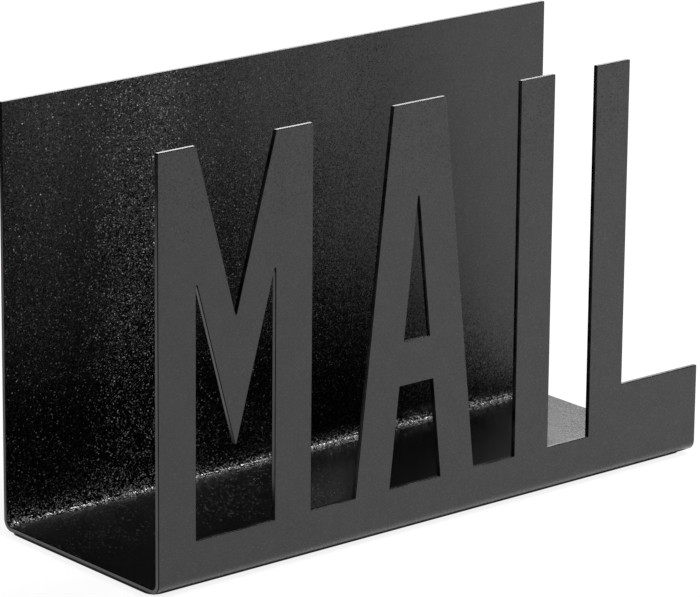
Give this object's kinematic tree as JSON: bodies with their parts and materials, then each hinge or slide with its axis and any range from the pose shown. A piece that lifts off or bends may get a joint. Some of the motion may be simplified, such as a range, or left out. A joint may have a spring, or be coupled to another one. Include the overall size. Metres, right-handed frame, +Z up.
{
  "type": "letter holder",
  "caption": "Desktop letter holder folded from one steel sheet: tall plain back wall, flat floor, and a front wall of tall cut-out capitals on a low rail, on rubber pads.",
  "frame": {"origin": "middle of the length and of the depth, on the surface that the pads stand on", "axes": "+Z up, +X along the lettering from left to right, +Y from the lettered front wall to the back wall"},
  "size_m": [0.254, 0.09, 0.1582],
  "materials": {
    "powder_coat": "black fine-texture powder coat on steel",
    "pad_rubber": "matt black rubber"
  },
  "bodies": {
    "root": {"back_panel": "powder_coat", "rear_bend": "powder_coat", "floor_panel": "powder_coat", "front_bend": "powder_coat", "front_rail": "powder_coat", "letter_m": "powder_coat", "letter_a": "powder_coat", "letter_i": "powder_coat", "letter_l": "powder_coat", "pad_front_left": "pad_rubber", "pad_front_right": "pad_rubber", "pad_rear_left": "pad_rubber", "pad_rear_right": "pad_rubber"}
  },
  "joints": []
}
